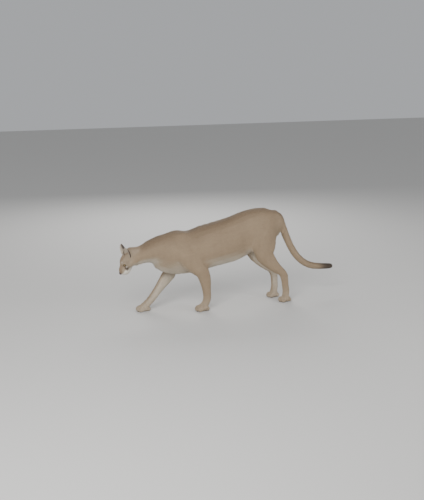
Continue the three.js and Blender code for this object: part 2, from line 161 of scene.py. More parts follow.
HIND_LEG_BACK = [
    (450, 70, 600, 66, 13, 4.5),
    (424, 80, 468, 66, 12, 4.0),
    (440, 80, 352, 48, 10, 3.5),
    (534, 75, 268, 34, 9, 2.6),
    (604, 72, 200, 28, 8, 2.2),
    (622, 72, 90, 25, 7, 1.8),
    (560, 72, 14, 22, 5.5, 1.2),
]
HIND_LEG_UNDER = [
    (434, 70, 600, 66, 13, 4.5),
    (412, 80, 464, 66, 12, 4.0),
    (428, 80, 346, 48, 10, 3.5),
    (514, 75, 260, 34, 9, 2.6),
    (580, 72, 196, 28, 8, 2.2),
    (590, 72, 90, 25, 7, 1.8),
    (525, 72, 14, 22, 5.5, 1.2),
]


class Line:
    """A line through one part of the body, with the coat's measures along it."""

    def __init__(self, rows, side=0):
        table = np.array(rows, float)
        self.points = np.array([place(x, side * y, z) for x, y, z in table[:, :3]])
        self.measures = table[:, 3:] / 1000
        self.tangents = np.gradient(self.points, axis=0)
        steps = np.linalg.norm(np.diff(self.points, axis=0), axis=1)
        self.reach = np.concatenate([[0], np.cumsum(steps)])

    def nearest(self, points):
        """Distance, station number and foot of each point on this line."""
        best = np.full(len(points), np.inf)
        station = np.zeros(len(points))
        for i in range(len(self.points) - 1):
            start, step = self.points[i], self.points[i + 1] - self.points[i]
            share = np.clip((points - start) @ step / (step @ step), 0, 1)
            gap = np.linalg.norm(points - start - share[:, None] * step, axis=1)
            closer = gap < best
            best[closer] = gap[closer]
            station[closer] = i + share[closer]
        return best, station

    def read(self, values, station):
        low = np.minimum(station.astype(int), len(values) - 2)
        share = (station - low).reshape(-1, *[1] * (values.ndim - 1))
        return values[low] * (1 - share) + values[low + 1] * share


LINES = [
    Line(HEAD_LINE),
    Line(TRUNK_LINE),
    Line(TAIL_LINE),
    Line(FORELEG_BACK, SIDES["left"]),
    Line(FORELEG_REACHING, SIDES["right"]),
    Line(HIND_LEG_BACK, SIDES["left"]),
    Line(HIND_LEG_UNDER, SIDES["right"]),
]


def read_lines(points):
    """For each point: share of every line, lie of the coat, hair length, depth, stations."""
    shares, lies, measures, stations = [], [], [], []
    for line in LINES:
        gap, station = line.nearest(points)
        size = line.read(line.measures, station)
        shares.append((size[:, 0] / np.maximum(gap, 1e-4)) ** 5)
        lies.append(line.read(line.tangents, station))
        measures.append(size)
        stations.append(station)
    shares = np.array(shares)
    shares /= shares.sum(0)
    lies = np.array([unit(lie) for lie in lies])
    lie = unit((shares[:, :, None] * lies).sum(0))
    size = (shares[:, :, None] * np.array(measures)).sum(0)
    return shares, lie, size[:, 1], size[:, 2], np.array(stations)


def unit(vectors):
    return vectors / np.maximum(np.linalg.norm(vectors, axis=-1, keepdims=True), 1e-9)


def smoothstep(low, high, value):
    """Rises softly from 0 at low to 1 at high, also where high is the smaller."""
    t = np.clip((value - low) / (high - low), 0, 1)
    return t * t * (3 - 2 * t)


def bulge(distance, height, width):
    return height * np.exp(-((distance / width) ** 2))


# Meshes as arrays
def place_in_scene(name, data):
    thing = bpy.data.objects.new(name, data)
    bpy.context.scene.collection.objects.link(thing)
    return thing


def object_from(name, points, faces, smooth=True):
    """An object whose faces all have the same number of sides."""
    mesh = bpy.data.meshes.new(name)
    faces = np.asarray(faces, np.int32)
    starts = np.arange(0, faces.size, faces.shape[1], dtype=np.int32)
    mesh.vertices.add(len(points))
    mesh.vertices.foreach_set("co", np.asarray(points, np.float32).ravel())
    mesh.loops.add(faces.size)
    mesh.loops.foreach_set("vertex_index", faces.ravel())
    mesh.polygons.add(len(faces))
    mesh.polygons.foreach_set("loop_start", starts)
    mesh.update(calc_edges=True)
    shade(mesh, smooth)
    return place_in_scene(name, mesh)


def shade(mesh, smooth=True):
    mesh.polygons.foreach_set("use_smooth", np.full(len(mesh.polygons), smooth))


def add_remesh(thing, grain):
    remesh = thing.modifiers.new("grain", "REMESH")
    remesh.mode = "VOXEL"
    remesh.voxel_size = grain


def add_bake_map(thing, corners):
    bake = thing.data.uv_layers.new(name="OFBake")
    bake.data.foreach_set("uv", corners.astype(np.float32).ravel())


def outward(points, faces):
    """The four-sided faces of one closed body, all facing out."""
    a, b, c, d = np.moveaxis(points[np.array(faces)] - points.mean(0), 1, 0)
    volume = (a * (np.cross(b, c) + np.cross(c, d))).sum()
    return faces if volume > 0 else [face[::-1] for face in faces]


def tube_faces(rings, sides):
    faces = []
    for r in range(rings - 1):
        for s in range(sides):
            a, b = r * sides + s, r * sides + (s + 1) % sides
            faces.append((a, b, b + sides, a + sides))
    return faces


def arrays_of(mesh):
    points = np.empty(len(mesh.vertices) * 3, np.float32)
    mesh.vertices.foreach_get("co", points)
    mesh.calc_loop_triangles()
    triangles = np.empty(len(mesh.loop_triangles) * 3, np.int32)
    mesh.loop_triangles.foreach_get("vertices", triangles)
    return points.reshape(-1, 3).astype(float), triangles.reshape(-1, 3)


def with_modifiers(thing):
    graph = bpy.context.evaluated_depsgraph_get()
    made = bpy.data.meshes.new_from_object(thing.evaluated_get(graph))
    thing.modifiers.clear()
    thing.data = made
    return thing


def normals_of(points, triangles):
    a, b, c = (points[triangles[:, i]] for i in range(3))
    faces = np.cross(b - a, c - a)
    total = np.zeros_like(points)
    for corner in range(3):
        for axis in range(3):
            column = np.bincount(triangles[:, corner], faces[:, axis], len(points))
            total[:, axis] += column
    return unit(total)


def edges_of(triangles):
    pairs = np.concatenate([triangles[:, [0, 1]], triangles[:, [1, 2]], triangles[:, [2, 0]]])
    pairs.sort(axis=1)
    return np.unique(pairs, axis=0)


SMOOTHING_STEP = 0.6
RETURN_STEP = -0.62  # the step back that keeps the bulk


def smooth_points(points, edges, weight, rounds, shrink=0.0):
    """Evens out the surface; shrink 0 keeps its bulk and 1 lets it draw in."""
    a, b = edges.T
    size = len(points)
    count = np.bincount(a, minlength=size) + np.bincount(b, minlength=size)
    for _ in range(rounds):
        for factor in (SMOOTHING_STEP, RETURN_STEP * (1 - shrink)):
            if factor == 0:
                continue
            mean = np.empty_like(points)
            for axis in range(3):
                total = np.bincount(a, points[b, axis], size)
                total += np.bincount(b, points[a, axis], size)
                mean[:, axis] = total / count
            points = points + factor * weight[:, None] * (mean - points)
    return points


# Skin
VOXEL = 0.0022  # grain of the skin before it is thinned
SWELL = 0.0008  # closes the gaps between the solids
FACES_KEPT = 0.34
THINNING_LEVELS = 4


def joined_solids():
    """All the solids as one closed skin."""
    both = bmesh.new()
    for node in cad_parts.values():
        both.from_mesh(node.data)
    bmesh.ops.remove_doubles(both, verts=both.verts, dist=1e-5)
    both.normal_update()
    for vertex in both.verts:
        vertex.co += vertex.normal * SWELL
    mesh = bpy.data.meshes.new("skin")
    both.to_mesh(mesh)
    both.free()
    skin = place_in_scene("skin", mesh)
    add_remesh(skin, VOXEL)
    return with_modifiers(skin)


def thin_body(skin):
    """Fewer faces on the broad forms behind the face and above the paws."""
    points, _ = arrays_of(skin.data)
    behind = 0.02 - to_head(points)[:, 0]
    broad = smoothstep(0.02, 0.09, behind) * smoothstep(0.05, 0.13, points[:, 2])
    level_of = broad * THINNING_LEVELS
    group = skin.vertex_groups.new(name="broad")
    for level in range(1, THINNING_LEVELS + 1):
        chosen = np.nonzero((level_of > level - 0.5) & (level_of <= level + 0.5))[0]
        group.add(chosen.tolist(), level / THINNING_LEVELS, "REPLACE")
    thin = skin.modifiers.new("thin", "DECIMATE")
    thin.ratio = FACES_KEPT
    thin.vertex_group = "broad"
    with_modifiers(skin)
    skin.vertex_groups.clear()


# Masses of the head in its own frame: middle and half sizes, in millimetres. One that stands off
# the middle line has a twin on the other side.
HEAD_MASSES = [
    ((-4, 0, 0), (70, 59, 50)),  # braincase
    ((-46, 0, -26), (42, 52, 42)),  # back of the head
    ((40, 0, 10), (44, 42, 38)),  # forehead
    ((52, 27, 19), (26, 17, 15)),  # brow
    ((80, 0, 6), (46, 24, 21)),  # bridge of the nose
    ((72, 0, -12), (48, 36, 26)),  # upper jaw
    ((22, 52, -10), (44, 21, 24)),  # cheekbone
    ((0, 46, -34), (44, 26, 34)),  # jaw muscle
    ((105, 22, -16), (28, 24, 22)),  # whisker pad
    ((116, 0, -5), (21, 16, 15)),  # nose
    ((60, 0, -36), (52, 30, 20)),  # lower jaw
    ((102, 0, -38), (21, 23, 16)),  # chin
]
HEAD_BLEND = 0.007


def mass_distance(local, middle, half):
    """Distance to an ellipsoid, near enough close to its surface."""
    away = local - np.asarray(middle)
    near = np.linalg.norm(away / half, axis=-1)
    steep = np.linalg.norm(away / np.square(half), axis=-1)
    return near * (near - 1) / np.maximum(steep, 1e-9)


def soft_least(a, b, blend):
    """The lesser of two distances, with a fillet where they meet."""
    mix = np.clip(0.5 + 0.5 * (b - a) / blend, 0, 1)
    return b * (1 - mix) + a * mix - blend * mix * (1 - mix)


EYE_SLANT = math.radians(22)
EYE_OUTWARD = 0.62
EYE_UPWARD = -0.34
LID = 0.0024  # thickness of a lid over the eyeball
LID_FILLET = 0.005
TEAR_CORNER = 0.003  # radius of the inner corner
EYE_OPENING = np.array([0.013, 0.0135, 0.0070])
SLIT_BEND = 14  # how strongly the slit curves down at its ends


def eye_turn(side):
    """Axes of an eye: out along its gaze, along the slit, and across it."""
    slant = Matrix.Rotation(side * EYE_SLANT, 3, "X")
    outward_turn = Matrix.Rotation(side * EYE_OUTWARD, 3, "Z")
    upward = Matrix.Rotation(EYE_UPWARD, 3, "Y")
    return np.array(upward @ outward_turn @ slant)


def eye_middle(side):
    return EYE_AT * (1, side, 1)


def with_eye(field, local, side):
    """Adds the lids and the inner corner of one eye, and cuts its opening."""
    eye = eye_middle(side)
    turn = eye_turn(side)
    gaze = turn[:, 0]
    lids = np.linalg.norm(local - eye, axis=-1) - (EYEBALL + LID)
    field = soft_least(field, lids, LID_FILLET)
    inner_corner = eye + gaze * 0.010 - turn[:, 1] * side * 0.013
    corner = np.linalg.norm(local - inner_corner, axis=-1) - TEAR_CORNER
    field = soft_least(field, corner, 0.006)
    slit = (local - eye - gaze * EYEBALL) @ turn
    bend = slit[..., 1] ** 2 * SLIT_BEND
    slit = np.stack([slit[..., 0], slit[..., 1], slit[..., 2] + bend - 0.0006], axis=-1)
    opening = mass_distance(slit, (0, 0, 0), EYE_OPENING)
    return -soft_least(-field, opening, 0.0016)


def head_field(local):
    """Signed distance to the skin of the head, in its own frame."""
    total = 0
    for middle, half in HEAD_MASSES:
        for side in sides_of(middle[1]):
            at = np.array(middle) / 1000 * (1, side, 1)
            gap = mass_distance(local, at, np.array(half) / 1000)
            total = total + np.exp(-gap / HEAD_BLEND)
    field = -HEAD_BLEND * np.log(np.maximum(total, 1e-30))
    for side in SIDES.values():
        field = with_eye(field, local, side)
    return field


def field_slope(local):
    step = 0.0006
    slope = np.empty_like(local)
    for axis in range(3):
        nudge = np.zeros(3)
        nudge[axis] = step
        slope[:, axis] = (head_field(local + nudge) - head_field(local - nudge)) / (2 * step)
    return slope


def cast(start, way):
    """Where a ray from inside the head meets its skin."""
    near, far = 0.0, 0.2
    for _ in range(28):
        half = (near + far) / 2
        if head_field((start + way * half)[None])[0] < 0:
            near = half
        else:
            far = half
    return start + way * near


# The mouth: places along the face in millimetres, and how far below level the lips lie there
MOUTH = [(66, 0.34), (76, 0.36), (87, 0.42), (98, 0.50), (108, 0.62)]
MUZZLE_CORE = np.array([0.096, 0, -0.018])


def mouth_path():
    """The line between the lips, from the left corner round the front to the right one."""
    half = []
    for u, droop in MOUTH:
        way = np.array([0, math.cos(droop), -math.sin(droop)])
        half.append(cast(np.array([u / 1000, 0, -0.022]), way))
    front = cast(np.array([0.096, 0, -0.022]), unit(np.array([1, 0, -0.42])))
    left = [p * (1, -1, 1) for p in half]
    return np.array(left + [front] + half[::-1])


def below_nose_path():
    return np.array([cast(MUZZLE_CORE, unit(np.array([1, 0, -k / 10]))) for k in range(1, 5)])


def path_distance(points, path, pieces=8):
    """Distance from each point to a smooth line through the path."""
    t = np.linspace(0, len(path) - 1, (len(path) - 1) * pieces + 1)
    fine = np.stack([np.interp(t, np.arange(len(path)), path[:, k]) for k in range(3)], axis=1)
    for _ in range(3):
        fine[1:-1] = (fine[:-2] + 2 * fine[1:-1] + fine[2:]) / 4
    best = np.full(len(points), np.inf)
    for a, b in zip(fine[:-1], fine[1:]):
        step = b - a
        share = np.clip((points - a) @ step / (step @ step), 0, 1)
        best = np.minimum(best, np.linalg.norm(points - a - share[:, None] * step, axis=1))
    return best


def ear_share(points):
    """1 on the ears, falling to 0 on the head round them."""
    share = np.zeros(len(points))
    for name in SIDES:
        low, high = (np.array(corner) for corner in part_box(f"ear_{name}"))
        outside = np.maximum(np.maximum(low - points, points - high), 0)
        near = 1 - smoothstep(0.0, 0.008, np.linalg.norm(outside, axis=1))
        share = np.maximum(share, near)
    near = share > 0
    share[near] *= smoothstep(0.001, 0.009, head_field(to_head(points[near])))
    return share


def head_share(local):
    """1 on the face and crown, falling to 0 where the neck takes over."""
    neck_way = np.array([FACE_WAY[0], 0, CROWN_WAY[0]])
    return 1 - smoothstep(0.0, 0.045, local @ neck_way)


# Swellings and hollows of the body: x, outwards, z, radius, height; all in millimetres
BODY_FORMS = [
    (-205, 44, 600, 36, 6),  # top of the shoulder blade
    (-160, 0, 612, 26, -5),  # hollow between the blades
    (-150, 112, 470, 60, 4),  # muscle behind the shoulder
    (-40, 116, 520, 60, -3),  # behind the shoulder
    (150, 112, 520, 90, -3),  # end of the ribs
    (300, 92, 500, 60, -7),  # flank
    (400, 62, 716, 34, 5),  # point of the hip
    (470, 96, 600, 62, 5),  # buttock
    (505, 76, 448, 44, 9),  # back of the thigh below the buttock
    (230, 0, 362, 70, 6),  # loose skin of the belly
    (-470, 70, 470, 70, 2),  # neck muscle
    (-395, 0, 330, 40, 6),  # front of the breastbone
]
LEG_FORMS = [
    (-11, -84, 332, 20, 5),  # point of the near elbow
    (-196, 86, 300, 20, 4),  # point of the far elbow
    (560, -74, 226, 26, -5),  # hollow in front of the near heel tendon
    (538, 74, 220, 26, -5),  # hollow in front of the far heel tendon
    (636, -72, 214, 16, 4),  # point of the near heel
    (612, 72, 208, 16, 4),  # point of the far heel
    (382, -100, 392, 28, 4),  # near knee
    (372, 100, 388, 28, 4),  # far knee
]


def form_height(points):
    """How far the skin rises over the swellings and sinks in the hollows."""
    forms = []
    for x, out, z, radius, amount in BODY_FORMS:
        forms += [(x, side * out, z, radius, amount) for side in sides_of(out)]
    height = np.zeros(len(points))
    for x, y, z, radius, amount in forms + LEG_FORMS:
        gap = np.linalg.norm(points - place(x, y, z), axis=1)
        height += bulge(gap * 1000, amount / 1000, radius)
    return height


FOLD_SPACING = 0.026
FOLD_DEPTH = 0.0016


def neck_folds(points):
    """Soft creases across the throat and behind the jaw."""
    along = (points - place(-520, 0, 400)) @ unit(np.array([1.0, 0, 0.25]))
    low = 1 - smoothstep(0.36, 0.43, points[:, 2])
    wave = 0.5 + 0.5 * np.cos(along * 2 * math.pi / FOLD_SPACING)
    return -FOLD_DEPTH * low * bulge(along, 1, 0.05) * wave


def mouth_relief(local):
    """The line between the lips with its rolled edges, and the split below the nose."""
    lips = path_distance(local, mouth_path())
    split = path_distance(local, below_nose_path())
    rolled = bulge(lips - 0.005, 0.0010, 0.0025)
    return bulge(lips, -0.0030, 0.0018) + rolled + bulge(split, -0.0018, 0.0016)


def refine_face(skin):
    """Finer grain on the front of the face."""
    work = bmesh.new()
    work.from_mesh(skin.data)
    work.verts.ensure_lookup_table()
    points = np.array([v.co for v in work.verts])
    local = to_head(points)
    front = (local[:, 0] > 0.034) & (np.abs(local[:, 1]) < 0.08)
    faces = [f for f in work.faces if all(front[v.index] for v in f.verts)]
    edges = list({e for f in faces for e in f.edges})
    bmesh.ops.subdivide_edges(work, edges=edges, cuts=1, use_grid_fill=True)
    bmesh.ops.triangulate(work, faces=work.faces)
    work.to_mesh(skin.data)
    work.free()


# Places where solids meet and skin would bridge them: x, outwards, z, radius in millimetres
CREASES = [
    (-405, 0, 372, 75),  # throat and front of the chest
    (-470, 0, 392, 60),  # under the neck
    (-535, 0, 372, 50),  # under the jaw
    (-525, 40, 450, 60),  # side of the neck behind the jaw
    (-520, 0, 505, 55),  # nape
    (-150, 45, 590, 75),  # behind the shoulder blades
    (-250, 60, 560, 75),  # in front of the shoulder blades
    (-335, 90, 430, 80),  # front of the shoulder
    (-320, 80, 372, 60),  # front of the upper arm
    (-130, 95, 380, 60),  # behind the upper arm
    (330, 95, 440, 75),  # fold of the flank
    (340, 85, 560, 80),  # front of the thigh
    (500, 75, 500, 85),  # back of the thigh
    (505, 78, 440, 60),  # below the buttock
    (545, 20, 610, 85),  # root of the tail
    (540, 0, 690, 60),  # top of the tail's root
]


def crease_share(points):
    share = np.zeros(len(points))
    for x, out, z, radius in CREASES:
        for side in sides_of(out):
            gap = np.linalg.norm(points - place(x, side * out, z), axis=1)
            share = np.maximum(share, np.exp(-((gap * 1000 / radius) ** 4)))
    return share


FACE_DEPTH = 0.0014  # short hair over the skin of the face
FACE_ROUNDS = 7
FACE_STEP = 0.003  # the furthest that the skin moves in one round
EAR_DEPTH = 0.0006
FLOOR_GAP = 0.0004


def press_to_face(points, edges, moved):
    """Draws the skin of the head in to the modelled face, as far as moved says."""
    front = moved > 0.001
    for _ in range(FACE_ROUNDS):
        local = to_head(points[front])
        slope = field_slope(local)
        gap = np.clip(head_field(local) + FACE_DEPTH, -FACE_STEP, FACE_STEP)
        step = gap[:, None] * slope / np.maximum((slope**2).sum(1, keepdims=True), 0.2)
        points[front] = from_head(local - step * moved[front][:, None])
        points = smooth_points(points, edges, 0.35 * moved, 1, shrink=0.5)
    return points


def shape_skin(skin):
    """Blends the solids into one body, models the face and draws the skin in under the coat."""
    points, triangles = arrays_of(skin.data)
    edges = edges_of(triangles)
    shares, _, _, depth, _ = read_lines(points)
    head = head_share(to_head(points)) * smoothstep(0.45, 0.55, shares[HEAD] + 0.3)
    ears = ear_share(points)
    paws = 1 - smoothstep(0.035, 0.075, points[:, 2])
    free = (1 - head) * (1 - 0.92 * paws) * (1 - ears)
    points = smooth_points(points, edges, free, 190, shrink=0.1)
    points = smooth_points(points, edges, free * crease_share(points), 130, shrink=1)
    points = smooth_points(points, edges, np.maximum(0.25 * ears, 0.3 * paws), 2)
    points = press_to_face(points, edges, head * (1 - ears))
    collar = (4 * head * (1 - head)) ** 0.5 * (1 - ears)
    points = smooth_points(points, edges, collar, 60, shrink=1)
    rise = form_height(points) * (1 - head) + neck_folds(points)
    rise += mouth_relief(to_head(points)) * head * (1 - ears)
    inset = depth * (1 - head) * (1 - ears) + EAR_DEPTH * ears + SWELL * (1 - head)
    points = points + normals_of(points, triangles) * (rise - inset)[:, None]
    points[:, 2] = np.maximum(points[:, 2], FLOOR_GAP)
    skin.data.vertices.foreach_set("co", points.astype(np.float32).ravel())
    shade(skin.data)
    skin.data.update()
    return points, triangles


# Markings
def mottle(points, grain, seed):
    """A soft mottle between -1 and 1."""
    waves = np.random.default_rng(seed)
    total = np.zeros(len(points))
    for _ in range(6):
        way = unit(waves.normal(size=3)) * waves.uniform(0.7, 1.4) * grain
        total += np.sin(points @ way + waves.uniform(0, 6.3))
    return total / 6


def paint(base, colour, share):
    return base * (1 - share[:, None]) + np.array(colour) * share[:, None]


def spot(local, middle, half):
    return 1 - smoothstep(0.6, 1.25, np.linalg.norm((local - middle) / half, axis=1))


def body_colour(points, normals, shares, stations):
    """Dark along the back, pale below and inside the legs, with a dark end to the tail."""
    trunk, tail = shares[TRUNK], shares[TAIL]
    legs = shares[TAIL + 1 :].sum(0)
    upper = smoothstep(0.1, 0.95, normals[:, 2]) * (trunk + tail + 0.5 * legs).clip(0, 1)
    inner = smoothstep(0.2, 0.9, -normals[:, 1] * np.sign(points[:, 1])) * legs
    feet = (1 - smoothstep(0.03, 0.16, points[:, 2])) * legs
    tip = smoothstep(4.9, 5.6, stations[TAIL]) * smoothstep(0.4, 0.7, tail)
    colour = np.tile(np.array(FLANK), (len(points), 1))
    colour = paint(colour, BACK, upper * 0.85)
    colour = paint(colour, UNDERSIDE, smoothstep(0.15, 0.8, -normals[:, 2]) * trunk)
    colour = paint(colour, UNDERSIDE, inner * 0.75)
    colour = paint(colour, FOOT, feet * 0.7)
    return paint(colour, SOOT, tip * 0.9)


# Spots of the face: colour, strength, middle and half sizes in the head's own frame
FACE_SPOTS = [
    (SOOT, 0.85, (0.083, 0.036, -0.012), (0.013, 0.014, 0.017)),  # root of the whiskers
    (CREAM, 0.20, (0.062, 0.024, 0.033), (0.016, 0.012, 0.012)),  # above the eye
    (CREAM, 0.55, (0.066, 0.046, -0.006), (0.018, 0.012, 0.006)),  # below the eye
]
TEAR_MARK = (SOOT, 0.6, (0.078, 0.019, 0.012), (0.010, 0.004, 0.007))


def face_colour(local):
    half = folded(local)
    face = np.tile(np.array(FOREHEAD), (len(local), 1))
    face = paint(face, CHEEK, smoothstep(0.02, 0.04, half[:, 1]))
    jaw = local[:, 2] - 0.12 * (local[:, 0] - 0.05)
    face = paint(face, CREAM, smoothstep(-0.024, -0.040, jaw))
    muzzle = smoothstep(0.088, 0.102, local[:, 0]) * smoothstep(-0.002, -0.012, local[:, 2])
    face = paint(face, CREAM, muzzle)
    for colour, strength, middle, size in FACE_SPOTS:
        face = paint(face, colour, strength * spot(half, middle, size))
    rim = np.linalg.norm(half - EYE_AT, axis=1)
    face = paint(face, SOOT, 0.95 * (1 - smoothstep(0.0164, 0.0180, rim)))
    colour, strength, middle, size = TEAR_MARK
    face = paint(face, colour, strength * spot(half, middle, size))
    lips = path_distance(local, mouth_path())
    return paint(face, SOOT, 0.9 * (1 - smoothstep(0.0016, 0.0034, lips)))


def ear_colour(normals):
    behind = smoothstep(-0.1, 0.5, normals @ unit(np.array([1.0, 0, 0.35])))
    return paint(np.tile(np.array(EAR_CUP), (len(normals), 1)), EAR_BACK, behind)


def coat_colour(points, normals, shares, stations):
    colour = body_colour(points, normals, shares, stations)
    colour = paint(colour, face_colour(to_head(points)), smoothstep(0.3, 0.7, shares[HEAD]))
    colour = paint(colour, ear_colour(normals), ear_share(points))
    pads = (1 - smoothstep(0.003, 0.007, points[:, 2])) * smoothstep(0.2, 0.6, -normals[:, 2])
    colour = paint(colour, PAD, pads)
    tone = 1 + 0.06 * mottle(points, 60, 3) + 0.05 * mottle(points, 240, 5)
    return np.clip(colour * tone[:, None], 0, 1)


def colour_attribute(thing, colours):
    layer = thing.data.color_attributes.new("coat", "FLOAT_COLOR", "POINT")
    rgba = np.concatenate([colours, np.ones((len(colours), 1))], axis=1)
    layer.data.foreach_set("color", rgba.astype(np.float32).ravel())


# The skin's map: each line of the body has a strip of its own, unrolled round the line
END_ROOM = 0.1  # length of skin that the map allows past each end of a line


def unroll(line, points):
    """Angle round the line, and the way along it."""
    _, station = line.nearest(points)
    foot = line.read(line.points, station)
    tangent = unit(line.read(line.tangents, station))
    away = points - foot
    past = (away * tangent).sum(1)
    across = np.cross(tangent, np.array([0.0, 1.0, 0.0]))
    angle = np.arctan2(away[:, 1], (away * unit(across)).sum(1))
    return angle, END_ROOM + line.read(line.reach, station) + past


def skin_map(points, triangles):
    centres = points[triangles].mean(1)
    shares, _, _, _, _ = read_lines(centres)
    owner = shares.argmax(0)
    corners = np.zeros((len(triangles), 3, 2))
    for k, line in enumerate(LINES):
        mine = np.nonzero(owner == k)[0]
        middle, _ = unroll(line, centres[mine])
        for c in range(3):
            angle, reach = unroll(line, points[triangles[mine, c]])
            turn = (angle - middle + math.pi) % (2 * math.pi) - math.pi + middle
            across = 0.1 + 0.8 * (turn / (2 * math.pi) + 0.5)
            corners[mine, c, 0] = (k + across) / len(LINES)
            corners[mine, c, 1] = 0.04 + 0.92 * reach / (line.reach[-1] + 2 * END_ROOM)
    return corners


# Fur
TUFT_LIMIT = 330000
TUFTS_PER_PIECE = 47000
LEAST_SPACING = 0.0007
SPACING_PER_LENGTH = 0.095
BAKE_PATCH = 0.003  # width of a tuft on the skin's map

# Corners of a tuft: left and right of its root, on its ridge, and at its tip
TUFT_FACES = np.array([[0, 2, 3], [2, 1, 3], [1, 0, 3], [0, 1, 2]])
# Painted shade and light along each tuft: darker at its root, where the coat around it shades it,
# and a little lighter at its tip
TUFT_PAINTED_SHADING = np.array([0.84, 0.84, 0.97, 1.06])
PATCH = np.array([[-0.5, -0.5], [0.5, -0.5], [0.0, 0.0], [0.0, 0.5]]) * BAKE_PATCH


def bare_share(points):
    """1 where no hair grows: the eyes, the lips, the nose and the pads of the feet."""
    local = to_head(points)
    lips = path_distance(local, mouth_path())
    nose_gap = np.linalg.norm((local - (0.140, 0, -0.003)) / (0.013, 0.020, 0.014), axis=1)
    eye_gap = np.linalg.norm(folded(local) - EYE_AT, axis=1)
    bare = 1 - smoothstep(0.0165, 0.0195, eye_gap)
    bare = np.maximum(bare, 1 - smoothstep(0.0015, 0.0030, lips))
    bare = np.maximum(bare, 1 - smoothstep(0.004, 0.007, points[:, 2]))
    return np.maximum(bare, 1 - smoothstep(0.9, 1.1, nose_gap))


def scatter(points, triangles, hair, bare):
    """Roots spread over the skin, closer together where the hair is shorter."""
    a, b, c = (points[triangles[:, i]] for i in range(3))
    area = np.linalg.norm(np.cross(b - a, c - a), axis=1) / 2
    spacing = LEAST_SPACING + SPACING_PER_LENGTH * hair[triangles].mean(1)
    wanted = area / spacing**2 * (1 - bare[triangles].max(1))
    total = min(TUFT_LIMIT, int(wanted.sum()))
    ladder = np.cumsum(wanted)
    picks = np.searchsorted(ladder, random.uniform(0, ladder[-1], total))
    r1, r2 = np.sqrt(random.uniform(size=total)), random.uniform(size=total)
    weights = np.stack([1 - r1, r1 * (1 - r2), r1 * r2], axis=1)
    return picks, weights


def grow_tufts(points, triangles, normals, lie, hair, coat, corner_map):
    """Corners, colours and places on the map of all the tufts, from the head backwards."""
    picks, weights = scatter(points, triangles, hair, bare_share(points))

    def at_roots(values):
        corners = values[triangles[picks]]
        if corners.ndim == 2:
            return (corners * weights).sum(1)
        return (corners * weights[:, :, None]).sum(1)

    root = at_roots(points)
    count = len(root)
    normal = unit(at_roots(normals))
    length = (at_roots(hair) * random.uniform(0.75, 1.15, count))[:, None]
    way = at_roots(lie)
    way = unit(way - normal * (way * normal).sum(1, keepdims=True))
    sway = random.normal(0, 0.10, count)[:, None]
    way = unit(way + np.cross(normal, way) * sway)
    across = np.cross(normal, way)
    lift = random.uniform(0.10, 0.22, count)[:, None]
    half = 0.00035 + 0.050 * length
    sunk = root - normal * 0.0005
    tip = root + length * (way * np.cos(lift) + normal * np.sin(lift))
    ridge = root + normal * half * 0.45 + way * length * 0.28
    corners = np.stack([sunk - across * half, sunk + across * half, ridge, tip], axis=1)
    base = at_roots(coat) * random.uniform(0.90, 1.09, count)[:, None]
    # painted shade at the roots of the tufts and painted light at their tips
    colours = np.clip(base[:, None, :] * TUFT_PAINTED_SHADING[None, :, None], 0, 1)
    spot_map = (corner_map[picks] * weights[:, :, None]).sum(1)
    order = np.argsort(root[:, 0], kind="stable")
    return corners[order], colours[order], spot_map[order]


def fur_piece(name, corners, colours, spot_map, finish):
    first = 4 * np.arange(len(corners))
    faces = (TUFT_FACES[None] + first[:, None, None]).reshape(-1, 3)
    piece = object_from(name, corners.reshape(-1, 3), faces, smooth=False)
    colour_attribute(piece, colours.reshape(-1, 3))
    patch = np.clip(spot_map[:, None, :] + PATCH[None], 0, 1).reshape(-1, 2)
    add_bake_map(piece, patch[faces.ravel()])
    piece.data.materials.append(finish)
    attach(piece, "root")


# Materials
def material(name, colour=(0.5, 0.5, 0.5), roughness=0.5, attribute=None, specular=0.4):
    """A plain surface, or one that takes its colour from an attribute of the mesh."""
    made = bpy.data.materials.new(name)
    made.use_nodes = True
    surface = made.node_tree.nodes["Principled BSDF"]
    surface.inputs["Base Color"].default_value = (*colour, 1)
    surface.inputs["Roughness"].default_value = roughness
    surface.inputs["Specular IOR Level"].default_value = specular
    if attribute:
        source = made.node_tree.nodes.new("ShaderNodeVertexColor")
        source.layer_name = attribute
        made.node_tree.links.new(source.outputs["Color"], surface.inputs["Base Color"])
    return made


def add_bump(made, grain, strength, depth):
    nodes, links = made.node_tree.nodes, made.node_tree.links
    place_of = nodes.new("ShaderNodeTexCoord")
    noise = nodes.new("ShaderNodeTexNoise")
    noise.inputs["Scale"].default_value = grain
    noise.inputs["Detail"].default_value = 4
    bump = nodes.new("ShaderNodeBump")
    bump.inputs["Strength"].default_value = strength
    bump.inputs["Distance"].default_value = depth
    links.new(place_of.outputs["Object"], noise.inputs["Vector"])
    links.new(noise.outputs["Fac"], bump.inputs["Height"])
    links.new(bump.outputs["Normal"], nodes["Principled BSDF"].inputs["Normal"])


def skin_material():
    made = material("skin", roughness=0.85, attribute="coat", specular=0.2)
    add_bump(made, 700, 0.5, 0.0006)
    return made


def fur_material():
    made = material("fur", roughness=0.62, attribute="coat", specular=0.22)
    made.node_tree.nodes["Principled BSDF"].inputs["Sheen Weight"].default_value = 0.15
    return made


def leather_material():
    made = material("nose_leather", (0.085, 0.050, 0.044), 0.42, specular=0.45)
    add_bump(made, 900, 0.6, 0.0005)
    return made


def eye_material():
    made = material("eye", roughness=0.22, attribute="coat", specular=0.5)
    surface = made.node_tree.nodes["Principled BSDF"]
    surface.inputs["Coat Weight"].default_value = 1.0
    surface.inputs["Coat Roughness"].default_value = 0.03
    return made


# Eyes
EYE_SIDES = 64
EYE_RINGS = 90
CORNEA_RISE = 0.0011
CORNEA_REACH = math.radians(42)
IRIS_EDGE = (0.0096, 0.0104)
PUPIL_EDGE = (0.0036, 0.0041)
AMBER = np.array((0.42, 0.27, 0.075))
OLIVE = np.array((0.30, 0.235, 0.085))
EYE_WHITE = (0.05, 0.035, 0.028)  # dark, as far as it shows between the lids
PUPIL = (0.002, 0.002, 0.002)


